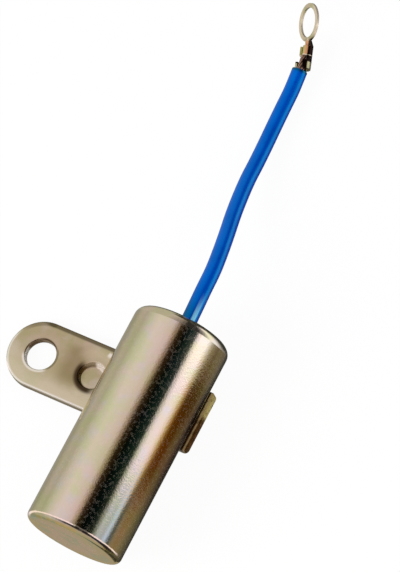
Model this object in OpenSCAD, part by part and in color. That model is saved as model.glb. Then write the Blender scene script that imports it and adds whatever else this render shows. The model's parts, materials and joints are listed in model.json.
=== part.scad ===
// Ignition condenser: a drawn steel can welded to a flat fixing bracket, with an insulated lead
// that ends in a ring terminal. The origin is the centre of the bracket's fixing hole on its
// mounting face. The can's axis runs along +Y from the closed end to the lead end, and +Z points
// away from the surface that the bracket is screwed to. All sizes are in millimetres.

/* [Can] */
// Outer diameter of the can
can_d = 18; // [15:0.5:24]
// Length of the can over its closed end and its rolled rim
can_l = 42.5; // [35:0.5:60]
// Thickness of the can's wall
can_wall = 0.5; // [0.3:0.05:0.8]
// Outer radius where the wall turns into the closed end
base_r = 1.1; // [0.9:0.1:2]
// Outer radius where the wall is rolled over at the lead end
rim_r = 1.8; // [1.2:0.1:2.2]
// Width of the flat lip that the rolled rim lays on the seal
lip_w = 1.4; // [0.8:0.1:2]

/* [Bracket] */
// Width of the bracket's strip
strip_w = 12.7; // [10:0.1:18]
// Thickness of the bracket's strip
strip_t = 1.5; // [1.2:0.05:2.5]
// Distance from the fixing hole to the can's axis
fixing_reach = 25.4; // [20:0.1:40]
// How far the strip runs on past the can's axis
tail_reach = 7.5; // [5:0.1:12]
// Width of the strip's tail
tail_w = 11.8; // [8:0.1:18]
// Distance from the can's rolled rim to the strip's centre line
strip_from_rim = 12.2; // [11.5:0.1:22]
// Diameter of the fixing hole
fixing_hole_d = 5.7; // [3:0.1:8]
// Die roll on the punched edges of the strip's can side
die_roll = 0.3; // [0.1:0.05:0.6]
// Radius of the two sheared corners at the strip's tail
tail_corner_r = 0.8; // [0.4:0.1:3]

/* [Locating peg] */
// Distance from the fixing hole to the peg
peg_pitch = 10.6; // [8:0.1:16]
// Diameter of the half-sheared peg and of the recess behind it
peg_d = 4.3; // [3:0.1:6]
// How far the peg stands out of the mounting face
peg_h = 0.8; // [0.3:0.1:1]
// Radius that the punch rolls over round the recess
peg_roll = 0.8; // [0.1:0.05:1]

/* [Spot welds] */
// Diameter of the marks that the welding electrodes leave on the mounting face
weld_d = 3.2; // [2:0.1:4]
// Distance between the two welds, along the can
weld_pitch = 6; // [4.5:0.5:8]

/* [Inside the can] */
// Running gap between pieces that sit inside one another
fit_gap = 0.1; // [0.05:0.05:0.2]
// Thickness of the insulating sleeve round the winding
sleeve_t = 0.4; // [0.2:0.05:0.8]
// Bore left in the winding by the mandrel it was wound on
mandrel_d = 3; // [2:0.5:5]
// Height of the sprung earth contact under the winding
spring_h = 1.6; // [1:0.1:2.5]
// Thickness of the sprung contact's sheet
spring_t = 0.3; // [0.2:0.05:0.5]
// Number of fingers on the sprung contact
finger_count = 6; // [3:1:10]
// Thickness of the live contact disc on the winding
contact_t = 0.4; // [0.2:0.05:0.8]
// Thickness of the stiff insulating washer
washer_t = 1.5; // [1:0.1:3]
// Thickness of the rubber seal
seal_t = 3; // [2:0.1:5]

/* [Lead] */
// Diameter over the lead's insulation
lead_d = 2.9; // [2.3:0.1:4]
// Diameter of the bundle of strands
strand_d = 1.5; // [0.8:0.1:1.8]

/* [Ring terminal] */
// Hole in the ring
ring_id = 5.5; // [3.2:0.1:6.4]
// Width of metal round the hole
ring_band = 0.8; // [0.7:0.05:3]
// Thickness of the terminal's sheet
terminal_t = 0.4; // [0.3:0.05:0.8]
// Length of the crimp on the strands
crimp_l = 1.75; // [1.5:0.05:4]
// Length of the cradle whose wings stand at the end of the insulation
cradle_l = 1.5; // [1:0.1:3]
// Radius inside the cradle's wings
cradle_in = 1.2; // [1:0.05:2]
// How far the crimp's axis lies below the cradle's axis
crimp_step = 0.45; // [0:0.05:0.5]
// Angle that the crimp's wings leave open over the strands
crimp_open = 60; // [30:5:100]
// Angle that the cradle's wings leave open
cradle_open = 120; // [60:5:160]
// How far the neck climbs from the crimp's floor to the ring's underside
neck_step = 0.85; // [0.6:0.05:2]
// Slope of the neck's floor
neck_slope = 27; // [20:1:55]
// Angle that the ring is bent up from the crimp's axis
ring_pitch = 8; // [0:1:12]

/* [Hidden] */
$fn = 96;
eps = 0.01;
tail_shoulder = 4;

// The can stands on the strip, with its axis over the strip's centre line.
can_r = can_d / 2;
bore_r = can_r - can_wall;
axis_x = fixing_reach;
axis_z = strip_t + can_r;
exit_y = strip_from_rim;
base_y = exit_y - can_l;
mouth_r = can_r - rim_r - lip_w;

// Heights inside the can, measured from the closed end.
seal_top = can_l - can_wall;
washer_top = seal_top - seal_t;
washer_low = washer_top - washer_t;
flange_t = 0.4;
contact_top = washer_low - flange_t;
winding_top = contact_top - contact_t;
winding_low = can_wall + spring_h;
winding_r = bore_r - fit_gap - sleeve_t - fit_gap;
spring_r = bore_r - (base_r - can_wall) - fit_gap;

// Eyelet riveted through the insulating washer, with the strands soldered inside it.
strand_r = strand_d / 2;
eyelet_in = strand_r + 0.2;
eyelet_out = eyelet_in + 0.35;
eyelet_head_r = eyelet_out + 0.5;
eyelet_head_t = 0.3;
head_gap = 0.1;
flange_r = eyelet_out + 1.4;
solder_low = contact_top + 0.3;
insulation_low = washer_top + eyelet_head_t + head_gap + 0.05;

// Centre line of the lead from the middle of the can's mouth: right, out along the can, up.
lead_route = [
    [0, 0, 0], [-0.2, 4, -0.1], [-0.5, 8, -0.4], [-0.9, 12, -1.1], [-1.7, 16, -2.1],
    [-2.7, 20, -3.3], [-3.8, 24, -4.6], [-4.7, 28, -5.8], [-5.4, 32, -6.9], [-5.8, 36, -7.8],
    [-6.2, 40, -8.5], [-6.5, 44, -8.8], [-6.7, 48, -8.9], [-6.78, 51.6, -8.75], [-6.97, 55.52, -8.15]
];
lead_sides = 8;
lead_exit = [axis_x, exit_y, axis_z];

// The terminal starts at the cut end of the insulation: it is turned left, tipped up and rolled
// on to its side.
terminal_turn = 18;
terminal_rise = 8;
terminal_roll = 51;
terminal_shift = [0.14, 0.41, -0.18];
terminal_dir = [
    -sin(terminal_turn) * cos(terminal_rise),
    cos(terminal_turn) * cos(terminal_rise),
    sin(terminal_rise)
];
lead_points = [for (p = lead_route) lead_exit + p];
lead_end = lead_points[len(lead_points) - 1];

// The insulation's cut end slants across the terminal's axis. The shift leaves cut_room for the
// cut's leading edge, and a thicker lead pushes the terminal further along by what it lacks.
lead_r = lead_d / 2;
cut_room = 0.38;
cut_reach = lead_r * norm(cross(terminal_dir, tangent(lead_points, len(lead_points) - 1)));
terminal_start = lead_end + terminal_shift + max(0, cut_reach - cut_room) * terminal_dir;

// Turns a place in the terminal's own frame into a place in the part's frame.
function from_terminal(p) =
    let (left = unit(cross([0, 0, 1], terminal_dir)),
         up = cross(terminal_dir, left),
         side = cos(terminal_roll) * left - sin(terminal_roll) * up,
         top = sin(terminal_roll) * left + cos(terminal_roll) * up)
    terminal_start + p[0] * terminal_dir + p[1] * side + p[2] * top;

crimp_gap = 0.03;
bare_l = 0.3;
crimp_in = strand_r + crimp_gap;
cradle_out = cradle_in + terminal_t;
crimp_out = crimp_in + terminal_t;
throat_l = 1.05;
crimp_start = cradle_l + throat_l;
crimp_end = crimp_start + crimp_l;
brush_l = 0.25;
ring_od = ring_id + 2 * ring_band;

// The neck is a scoop that climbs from the crimp's floor to the ring, and the ring's edge laps
// back over the end of it.
neck_floor = -crimp_step - crimp_out;
neck_start = crimp_end + brush_l;
neck_end = neck_start + neck_step / tan(neck_slope);
ring_level = neck_floor + neck_step;
neck_lap = 0.7;
ring_from_neck = ring_od / 2 - neck_lap;

function unit(v) = v / norm(v);

// Direction of a polyline at its point i: the mean of the two stretches that meet there.
function tangent(path, i) =
    let (last = len(path) - 1)
    unit(path[min(i + 1, last)] - path[max(i - 1, 0)]);

// One ring of a tube: points round p, square to the direction d.
function ring_points(p, d, r) =
    let (side = unit(cross(d, [0, 0, 1])), top = cross(side, d))
    [for (k = [0 : lead_sides - 1])
        let (a = 360 * (k + 0.5) / lead_sides)
        p + r * (cos(a) * side + sin(a) * top)];

// Two triangles for each side of a tube between ring i and the next one. The inner wall of a
// hollow tube faces the other way.
function wall_faces(first, rings, inward) = [
    for (i = [0 : rings - 2], k = [0 : lead_sides - 1])
        let (a = first + i * lead_sides + k,
             b = first + i * lead_sides + (k + 1) % lead_sides,
             c = b + lead_sides,
             d = a + lead_sides)
        each inward ? [[a, b, c], [a, c, d]] : [[a, c, b], [a, d, c]]
];

// Solid tube through the points of a path.
module solid_tube(path, r) {
    rings = len(path);
    last = (rings - 1) * lead_sides;
    points = [for (i = [0 : rings - 1]) each ring_points(path[i], tangent(path, i), r)];
    caps = [
        [for (k = [0 : lead_sides - 1]) k],
        [for (k = [lead_sides - 1 : -1 : 0]) last + k]
    ];
    polyhedron(points, concat(caps, wall_faces(0, rings, false)), convexity = 4);
}

// Hollow tube through the points of a path, open at both ends.
module hollow_tube(path, r, bore) {
    rings = len(path);
    inner = rings * lead_sides;
    last = (rings - 1) * lead_sides;
    points = [
        for (radius = [r, bore], i = [0 : rings - 1])
            each ring_points(path[i], tangent(path, i), radius)
    ];
    rims = [
        for (k = [0 : lead_sides - 1])
            let (n = (k + 1) % lead_sides)
            each [
                [k, n, inner + n], [k, inner + n, inner + k],
                [last + k, inner + last + n, last + n],
                [last + k, inner + last + k, inner + last + n]
            ]
    ];
    polyhedron(
        points,
        concat(wall_faces(0, rings, false), wall_faces(inner, rings, true), rims),
        convexity = 6
    );
}

// Places a turned piece on the can's axis, at a height from the closed end.
module on_can_axis(height = 0) {
    translate([axis_x, base_y + height, axis_z]) rotate([-90, 0, 0]) children();
}

// Half section of a cup: a bottom with one corner radius and a top with another.
module cup_section(radius, low, high, low_r, high_r) {
    translate([0, low + low_r]) square([radius, high - low - low_r - high_r]);
    translate([0, low]) square([radius - low_r, low_r + eps]);
    translate([0, high - high_r - eps]) square([radius - high_r, high_r + eps]);
    translate([radius - low_r, low + low_r]) circle(low_r);
    translate([radius - high_r, high - high_r]) circle(high_r);
}

// Washer or disc on the can's axis.
module turned_ring(outer_r, inner_r, height) {
    rotate_extrude() translate([inner_r, 0]) square([outer_r - inner_r, height]);
}

module can() {
    color("tan") on_can_axis() difference() {
        rotate_extrude() cup_section(can_r, 0, can_l, base_r, rim_r);
        rotate_extrude() cup_section(bore_r, can_wall, can_l - can_wall, base_r - can_wall,
            rim_r - can_wall);
        translate([0, 0, can_l - 2 * can_wall]) cylinder(r = mouth_r, h = 3 * can_wall);
    }
}

// Cross-section of the strip: the two edges on the can's side are rolled by the punch.
module strip_section(width) {
    square([width, strip_t - die_roll]);
    translate([0, strip_t - die_roll - eps]) square([width - die_roll, die_roll + eps]);
    translate([width - die_roll, strip_t - die_roll]) circle(die_roll);
}

// Ring-shaped cutter that rolls the edge of a punched hole over by radius r.
module roll_cutter(hole_r, r) {
    rotate_extrude() difference() {
        translate([hole_r - eps, strip_t - r]) square([r + eps, r + eps]);
        translate([hole_r + r, strip_t - r]) circle(r);
    }
}

module tail_corner_cutter() {
    translate([axis_x + tail_reach - tail_corner_r, tail_w / 2 - tail_corner_r, -1])
        difference() {
            cube([tail_corner_r + 1, tail_corner_r + 1, strip_t + 2]);
            translate([0, 0, -1]) cylinder(r = tail_corner_r, h = strip_t + 4);
        }
}

// Half of the strip between two places along it.
module half_strip(start, stop, width) {
    translate([start, 0, 0]) rotate([90, 0, 90]) linear_extrude(stop - start) strip_section(width);
}

module bracket() {
    half_w = strip_w / 2;
    peg_shrink = 0.1;
    weld_dent = 0.15;
    color("tan") difference() {
        union() {
            rotate_extrude() strip_section(half_w);
            for (side = [0, 1]) mirror([0, side, 0]) {
                half_strip(0, axis_x + tail_shoulder, half_w);
                half_strip(axis_x + tail_shoulder - eps, axis_x + tail_reach, tail_w / 2);
            }
            translate([peg_pitch, 0, -peg_h]) cylinder(d = peg_d - peg_shrink, h = peg_h + eps);
        }
        translate([0, 0, -1]) cylinder(d = fixing_hole_d, h = strip_t + 2);
        roll_cutter(fixing_hole_d / 2, die_roll);
        translate([peg_pitch, 0, strip_t - peg_h]) cylinder(d = peg_d, h = peg_h + 1);
        translate([peg_pitch, 0, 0]) roll_cutter(peg_d / 2, min(peg_roll, peg_h));
        for (side = [0, 1]) mirror([0, side, 0]) tail_corner_cutter();
        for (side = [-1, 1])
            translate([axis_x, side * weld_pitch / 2, -1]) cylinder(d = weld_d, h = 1 + weld_dent);
    }
}

module winding() {
    color("wheat") on_can_axis(winding_low)
        turned_ring(winding_r, mandrel_d / 2, winding_top - winding_low);
}

module insulating_sleeve() {
    color("peru") on_can_axis(winding_low)
        turned_ring(bore_r - fit_gap, bore_r - fit_gap - sleeve_t, washer_low - winding_low);
}

// Shallow cone cut into fingers: its edge bears on the can and its middle on the winding.
module earth_spring() {
    slot_w = 0.8;
    hub_r = mandrel_d / 2 + 1.5;
    rise = spring_h - spring_t;
    color("silver") on_can_axis(can_wall) difference() {
        union() {
            rotate_extrude() polygon([
                [hub_r, rise], [spring_r, 0], [spring_r, spring_t], [hub_r, spring_h]
            ]);
            translate([0, 0, rise]) turned_ring(hub_r + eps, mandrel_d / 2, spring_t);
        }
        for (i = [0 : finger_count - 1]) rotate(360 * i / finger_count)
            translate([hub_r + 1, -slot_w / 2, -1]) cube([spring_r, slot_w, spring_h + 2]);
    }
}

module live_contact() {
    color("gold") on_can_axis(winding_top) turned_ring(winding_r - 0.6, eyelet_in, contact_t);
}

module eyelet() {
    color("gold") on_can_axis(contact_top) {
        turned_ring(flange_r, eyelet_in, flange_t);
        turned_ring(eyelet_out, eyelet_in, flange_t + washer_t + eyelet_head_t);
        translate([0, 0, flange_t + washer_t])
            turned_ring(eyelet_head_r, eyelet_in, eyelet_head_t);
    }
}

module insulating_washer() {
    color("saddlebrown") on_can_axis(washer_low)
        turned_ring(bore_r - fit_gap, eyelet_out + fit_gap / 2, washer_t);
}

// The seal fills the rolled rim's corner and rises through the mouth round the lead.
module rubber_seal() {
    color("dimgray") on_can_axis() difference() {
        union() {
            rotate_extrude() cup_section(bore_r - fit_gap, washer_top, seal_top, eps,
                rim_r - can_wall);
            cylinder(r = mouth_r - fit_gap, h = can_l - 0.1);
        }
        translate([0, 0, -1]) cylinder(r = bore_r + 1, h = washer_top + 1);
        cylinder(r = lead_r + 0.05, h = can_l + 1);
        translate([0, 0, washer_top - eps])
            cylinder(r = eyelet_head_r + head_gap, h = eyelet_head_t + head_gap);
    }
}

module solder_joint() {
    color("lightgray") on_can_axis(solder_low)
        turned_ring(eyelet_in - eps, strand_r + eps, washer_low - solder_low + washer_t / 2);
}

// The insulation is cut off inside the seal, just above the eyelet.
module lead_insulation() {
    inner_end = lead_exit - [0, can_l - insulation_low, 0];
    color("royalblue") hollow_tube(concat([inner_end], lead_points), lead_r, strand_r + 0.02);
}

module lead_conductor() {
    inner_end = lead_exit - [0, can_l - solder_low, 0];
    bare = lead_end + bare_l * tangent(lead_points, len(lead_points) - 1);
    in_cradle = from_terminal([cradle_l - 0.1, -0.1, -0.1]);
    in_crimp = [for (x = [crimp_start, crimp_end + brush_l]) from_terminal([x, 0, -crimp_step])];
    color("chocolate")
        solid_tube(concat([inner_end], lead_points, [bare, in_cradle], in_crimp), strand_r);
}

// Places the terminal: its own +X runs from the mouth of the cradle to the ring, and its wings
// open towards its own +Z.
module at_lead_end() {
    translate(terminal_start)
        rotate([0, 0, 90 + terminal_turn])
        rotate([0, -terminal_rise, 0])
        rotate([-terminal_roll, 0, 0])
        children();
}

// Cutter that opens a barrel along its top by the given angle.
module open_wedge(open, length, radius) {
    rotate([90, 0, 90]) linear_extrude(length) polygon([
        [0, 0],
        radius * [-tan(open / 2), 1],
        radius * [tan(open / 2), 1]
    ]);
}

// Barrel of rolled sheet round the terminal's axis, between two places on it.
module barrel(start, stop, outer_r, inner_r, open) {
    translate([start, 0, 0]) difference() {
        rotate([0, 90, 0]) cylinder(r = outer_r, h = stop - start);
        translate([-1, 0, 0]) rotate([0, 90, 0]) cylinder(r = inner_r, h = stop - start + 2);
        translate([-1, 0, 0]) open_wedge(open, stop - start + 2, outer_r + 1);
    }
}

// Round solid between two discs that stand square to the terminal's axis.
module tapered(start, start_z, start_r, stop, stop_z, stop_r) {
    hull() {
        translate([start, 0, start_z]) rotate([0, 90, 0]) cylinder(r = start_r, h = eps, $fn = 48);
        translate([stop, 0, stop_z]) rotate([0, 90, 0]) cylinder(r = stop_r, h = eps, $fn = 48);
    }
}

// Channel that steps down from the cradle to the crimp, open above the axis.
module throat() {
    difference() {
        tapered(cradle_l - eps, 0, cradle_out, crimp_start, -crimp_step, crimp_out);
        tapered(cradle_l - 2 * eps, 0, cradle_in, crimp_start + eps, -crimp_step, crimp_in);
        translate([cradle_l - 1, -cradle_out - 1, 0])
            cube([crimp_start + 2, 2 * cradle_out + 2, cradle_out + 1]);
    }
}

// Places a piece on the ring's underside where the neck ends, bent up by the ring's own angle.
module at_neck_end() {
    translate([neck_end, 0, ring_level]) rotate([0, -ring_pitch, 0]) children();
}

// Hollow of the neck: level past the ends of the strands, then up to the ring's top face.
module neck_hollow() {
    translate([crimp_end - 2 * eps, 0, -crimp_step])
        rotate([0, 90, 0]) cylinder(r = crimp_in, h = brush_l + 3 * eps);
    tapered(neck_start, -crimp_step, crimp_in,
        neck_end, ring_level + terminal_t + crimp_in + 2 * eps, crimp_in);
}

module neck() {
    reach = 2 * neck_end;
    difference() {
        union() {
            translate([crimp_end - eps, 0, -crimp_step])
                rotate([0, 90, 0]) cylinder(r = crimp_out, h = brush_l + 2 * eps);
            tapered(neck_start, -crimp_step, crimp_out,
                neck_end, ring_level + crimp_out, crimp_out);
        }
        neck_hollow();
        at_neck_end() translate([-reach, -reach / 2, terminal_t]) cube([2 * reach, reach, reach]);
    }
}

module ring_plate() {
    difference() {
        at_neck_end() translate([ring_from_neck, 0, 0]) cylinder(d = ring_od, h = terminal_t);
        neck_hollow();
    }
}

module ring_terminal() {
    color("darkkhaki") at_lead_end() difference() {
        union() {
            barrel(0, cradle_l, cradle_out, cradle_in, cradle_open);
            throat();
            translate([0, 0, -crimp_step])
                barrel(crimp_start, crimp_end, crimp_out, crimp_in, crimp_open);
            neck();
            ring_plate();
        }
        at_neck_end() translate([ring_from_neck, 0, -1]) cylinder(d = ring_id, h = terminal_t + 2);
    }
}

can();
bracket();
winding();
insulating_sleeve();
earth_spring();
live_contact();
eyelet();
insulating_washer();
rubber_seal();
solder_joint();
lead_insulation();
lead_conductor();
ring_terminal();
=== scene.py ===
"""Studio scene of an ignition condenser.

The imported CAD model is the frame. This script gives its plated steel, rubber, copper and brass
their finishes, lays a smooth lead and a twisted bundle of strands in place of the plain ones, and
sets up a pale studio round the part. Sizes are in metres, except where a name or a comment says
mm, in the frame of the CAD model: +X runs along the strip to the can, +Y along the can to its
lead end, and +Z points away from the mounting face.
"""

from __future__ import annotations

import json
import logging
import math
from dataclasses import dataclass, field
from enum import Enum
from typing import Any, Sequence, Union

import bmesh
import bpy
from mathutils import Matrix, Vector

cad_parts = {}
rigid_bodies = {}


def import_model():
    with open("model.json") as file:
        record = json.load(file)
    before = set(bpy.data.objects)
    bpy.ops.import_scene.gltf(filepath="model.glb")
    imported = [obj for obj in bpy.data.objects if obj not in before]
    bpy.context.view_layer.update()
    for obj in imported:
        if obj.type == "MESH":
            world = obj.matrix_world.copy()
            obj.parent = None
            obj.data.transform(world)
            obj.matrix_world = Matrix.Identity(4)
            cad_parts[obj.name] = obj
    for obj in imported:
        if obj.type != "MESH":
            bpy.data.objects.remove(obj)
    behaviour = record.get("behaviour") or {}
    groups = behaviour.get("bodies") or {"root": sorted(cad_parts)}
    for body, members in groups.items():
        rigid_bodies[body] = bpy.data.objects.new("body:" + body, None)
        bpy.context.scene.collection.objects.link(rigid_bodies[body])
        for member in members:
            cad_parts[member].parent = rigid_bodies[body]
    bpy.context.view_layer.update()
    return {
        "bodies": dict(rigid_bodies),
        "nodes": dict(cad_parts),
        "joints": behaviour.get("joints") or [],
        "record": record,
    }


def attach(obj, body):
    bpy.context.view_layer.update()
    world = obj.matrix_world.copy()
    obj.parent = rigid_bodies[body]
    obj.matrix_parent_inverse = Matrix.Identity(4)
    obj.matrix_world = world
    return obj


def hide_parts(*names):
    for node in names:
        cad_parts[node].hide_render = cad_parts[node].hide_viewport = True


LOG = logging.getLogger("condenser")
MM = 0.001
TURN = 2 * math.pi

ORIGIN = Vector((0.0, 0.0, 0.0))
X_AXIS = Vector((1.0, 0.0, 0.0))
Y_AXIS = Vector((0.0, 1.0, 0.0))
Z_AXIS = Vector((0.0, 0.0, 1.0))

# Places of the CAD model that the finishes, the lead and the lights are laid out by, in mm.
CAN_X = 25.4
CAN_Z = 10.5
CAN_BOTTOM_Y = -30.3
CAN_MOUTH_Y = 12.2
HOLE_X = 0.0
RECESS_X = 10.6
HALF_STRIP = 6.35

#: Depth of the scratches in bare metal.
FINE_RELIEF = 2.0e-6
WHITE = (1.0, 1.0, 1.0, 1.0)

Value = Union["Socket", int, float]
Triple = tuple[float, float, float]
Colour = Triple
Tone = Union["Socket", Colour]
Ring = Sequence[bmesh.types.BMVert]


# ---------------------------------------------------------------------------------------------
# Node maths
# ---------------------------------------------------------------------------------------------


class Socket:
    """One output of a node, with Python's operators written as Math nodes."""

    def __init__(self, maker: "NodeMaker", link: bpy.types.NodeSocket) -> None:
        """Wraps an output.

        Args:
            maker: The maker of the output's tree.
            link: The output itself.
        """
        self.maker = maker
        self.link = link

    def beside(self, output: Union[int, str]) -> "Socket":
        """Another output of the same node."""
        return Socket(self.maker, self.link.node.outputs[output])

    def _math(self, operation: str, *values: Value, clamp: bool = False) -> "Socket":
        """Adds a Math node.

        Args:
            operation: The Math node's operation.
            values: The node's inputs in order.
            clamp: Whether the result is held between 0 and 1.

        Returns:
            The node's result.
        """
        return self.maker.node(
            "ShaderNodeMath",
            {"operation": operation, "use_clamp": clamp},
            dict(enumerate(values)),
        )

    def __add__(self, other: Value) -> "Socket":
        """Sum."""
        return self._math("ADD", self, other)

    def __radd__(self, other: Value) -> "Socket":
        """Sum, with the number first."""
        return self._math("ADD", other, self)

    def __sub__(self, other: Value) -> "Socket":
        """Difference."""
        return self._math("SUBTRACT", self, other)

    def __rsub__(self, other: Value) -> "Socket":
        """Difference, with the number first."""
        return self._math("SUBTRACT", other, self)

    def __mul__(self, other: Value) -> "Socket":
        """Product."""
        return self._math("MULTIPLY", self, other)

    def __rmul__(self, other: Value) -> "Socket":
        """Product, with the number first."""
        return self._math("MULTIPLY", other, self)

    def __truediv__(self, other: Value) -> "Socket":
        """Quotient."""
        return self._math("DIVIDE", self, other)

    def __pow__(self, other: Value) -> "Socket":
        """Power."""
        return self._math("POWER", self, other)

    def step(self, low: float, high: float) -> "Socket":
        """A smooth step.

        Args:
            low: Where the step starts from 0.
            high: Where it reaches 1. It may lie below low, and the step then falls.

        Returns:
            The step, between 0 and 1.
        """
        return self.maker.node(
            "ShaderNodeMapRange",
            {"interpolation_type": "SMOOTHSTEP"},
            {"Value": self, "From Min": low, "From Max": high, "To Min": 0.0, "To Max": 1.0},
        )

    def band(self, start: float, full: float, kept: float, end: float) -> "Socket":
        """A band with soft edges.

        Args:
            start: Where it rises from 0.
            full: Where it reaches 1.
            kept: Where it begins to fall.
            end: Where it is 0 again.

        Returns:
            The band, between 0 and 1.
        """
        return self.step(start, full) * self.step(end, kept)

    def over(self, limit: float) -> "Socket":
        """1 where it is over a limit, and 0 elsewhere."""
        return self._math("GREATER_THAN", self, limit)

    def arctan2(self, other: Value) -> "Socket":
        """The angle of the point (other, self), in radians."""
        return self._math("ARCTAN2", self, other)

    def absolute(self) -> "Socket":
        """Its size without its sign."""
        return self._math("ABSOLUTE", self)

    def sine(self) -> "Socket":
        """Its sine, from radians."""
        return self._math("SINE", self)

    def cosine(self) -> "Socket":
        """Its cosine, from radians."""
        return self._math("COSINE", self)

    def clamped(self) -> "Socket":
        """Held between 0 and 1."""
        return self._math("ADD", self, 0.0, clamp=True)


def distance(x: Socket, y: Socket) -> Socket:
    """How far the point (x, y) lies from the middle."""
    return (x ** 2 + y ** 2) ** 0.5


class NodeMaker:
    """A node tree, and the one method that adds any node to it."""

    def __init__(self, tree: bpy.types.NodeTree) -> None:
        """Takes a tree and empties it."""
        self.tree = tree
        self.tree.nodes.clear()

    def node(
        self,
        kind: str,
        settings: dict[str, Any] | None = None,
        inputs: dict[Union[int, str], Any] | None = None,
        output: Union[int, str] = 0,
    ) -> Socket:
        """Adds a node.

        Args:
            kind: The node's type.
            settings: Its properties. "stops" are a colour ramp's (position, colour) pairs.
            inputs: The values or links of its sockets.
            output: Which of its outputs is wanted.

        Returns:
            That output.
        """
        made = self.tree.nodes.new(kind)
        for name, value in (settings or {}).items():
            if name == "stops":
                self._set_stops(made.color_ramp, value)
            else:
                setattr(made, name, value)
        for key, value in (inputs or {}).items():
            if isinstance(value, Socket):
                self.tree.links.new(value.link, made.inputs[key])
            else:
                made.inputs[key].default_value = value
        return Socket(self, made.outputs[output])

    @staticmethod
    def _set_stops(ramp: bpy.types.ColorRamp, stops: Sequence[tuple[float, Colour]]) -> None:
        """Gives a colour ramp its stops.

        Args:
            ramp: The ramp.
            stops: Positions and colours, in rising order of position.
        """
        while len(ramp.elements) > 1:
            ramp.elements.remove(ramp.elements[-1])
        ramp.elements[0].position = stops[0][0]
        ramp.elements[0].color = (*stops[0][1], 1.0)
        for position, colour in stops[1:]:
            ramp.elements.new(position).color = (*colour, 1.0)


class Shader(NodeMaker):
    """The nodes of a material or of the world."""

    def __init__(self, owner: Union[bpy.types.Material, bpy.types.World], output: str) -> None:
        """Empties the owner's tree and adds its output.

        Args:
            owner: The material or world.
            output: The type of its output node.
        """
        owner.use_nodes = True
        super().__init__(owner.node_tree)
        self.owner = owner
        self.output = self.tree.nodes.new(output)

    @classmethod
    def material(cls, name: str) -> "Shader":
        """A new material's shader."""
        return cls(bpy.data.materials.new(name), "ShaderNodeOutputMaterial")

    def place(self, stretch: Triple = (1.0, 1.0, 1.0), shift: Triple = (0.0, 0.0, 0.0)) -> Socket:
        """Object coordinates.

        Args:
            stretch: How much a pattern is scaled along each axis.
            shift: How far a pattern is moved along each axis.

        Returns:
            The coordinates as a vector.
        """
        point = self.node("ShaderNodeTexCoord", output="Object")
        return self.node(
            "ShaderNodeMapping", {}, {"Vector": point, "Location": shift, "Scale": stretch}
        )

    def along(self, axis: Vector, origin: Vector = ORIGIN) -> Socket:
        """How far a point of the object lies along an axis.

        Args:
            axis: The axis, of length one.
            origin: Where the axis starts.

        Returns:
            The distance in millimetres.
        """
        point = self.place(shift=tuple(-origin))
        return self.node(
            "ShaderNodeVectorMath",
            {"operation": "DOT_PRODUCT"},
            {0: point, 1: tuple(axis / MM)},
            "Value",
        )

    def noise(
        self,
        size: float,
        detail: float = 2.0,
        rough: float = 0.5,
        stretch: Triple = (1.0, 1.0, 1.0),
        shift: Triple = (0.0, 0.0, 0.0),
    ) -> Socket:
        """Noise of about a given grain size.

        Args:
            size: The size of its grains, in metres.
            detail: The number of finer layers on it.
            rough: How strong the finer layers are.
            stretch: How much shorter its grains are along each axis.
            shift: How far it is moved along each axis.

        Returns:
            The noise, between 0 and 1.
        """
        return self.node(
            "ShaderNodeTexNoise",
            {},
            {
                "Vector": self.place(stretch, shift),
                "Scale": 1.0 / size,
                "Detail": detail,
                "Roughness": rough,
            },
        )

    def mix(self, factor: Value, first: Tone, second: Tone) -> Socket:
        """Mixes two colours.

        Args:
            factor: The share of the second.
            first: The first colour.
            second: The second colour.

        Returns:
            The mixed colour.
        """
        # The node has its two colours at sockets 6 and 7, and the mixed one at 2.
        sides = {
            socket: value if isinstance(value, Socket) else (*value, 1.0)
            for socket, value in ((6, first), (7, second))
        }
        return self.node("ShaderNodeMix", {"data_type": "RGBA"}, {0: factor, **sides}, 2)

    def lay(self, colour: Tone, *tones: tuple[Value, Tone]) -> Socket:
        """Lays tones on a colour, each over the ones before.

        Args:
            colour: The colour underneath.
            tones: The share and the colour of each.

        Returns:
            The colour with its tones.
        """
        for share, tone in tones:
            colour = self.mix(share, colour, tone)
        return colour

    def bump(self, height: Value, depth: float, normal: Socket | None = None) -> Socket:
        """A bumped normal.

        Args:
            height: The relief, between 0 and 1.
            depth: The real depth of that relief, in metres.
            normal: A normal that is already bumped.

        Returns:
            The normal.
        """
        inputs: dict[Union[int, str], Any] = {"Height": height, "Distance": depth, "Strength": 1.0}
        if normal is not None:
            inputs["Normal"] = normal
        return self.node("ShaderNodeBump", {}, inputs)

    def surface(self, **inputs: Any) -> bpy.types.Material:
        """Ends the material in a Principled shader.

        Args:
            inputs: The shader's sockets by name, with _ for a space.

        Returns:
            The finished material.
        """
        named = {key.replace("_", " "): value for key, value in inputs.items()}
        self.finish(self.node("ShaderNodeBsdfPrincipled", {}, named))
        return self.owner

    def finish(self, result: Socket) -> None:
        """Links the last shader to the output."""
        self.tree.links.new(result.link, self.output.inputs["Surface"])


# ---------------------------------------------------------------------------------------------
# Finishes
# ---------------------------------------------------------------------------------------------


class Grain(Enum):
    """The direction in which a sheet was drawn or rolled, as the stretch of its marks."""

    ALONG_CAN = (1.0, 0.12, 1.0)
    ALONG_STRIP = (0.10, 1.0, 1.0)


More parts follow.
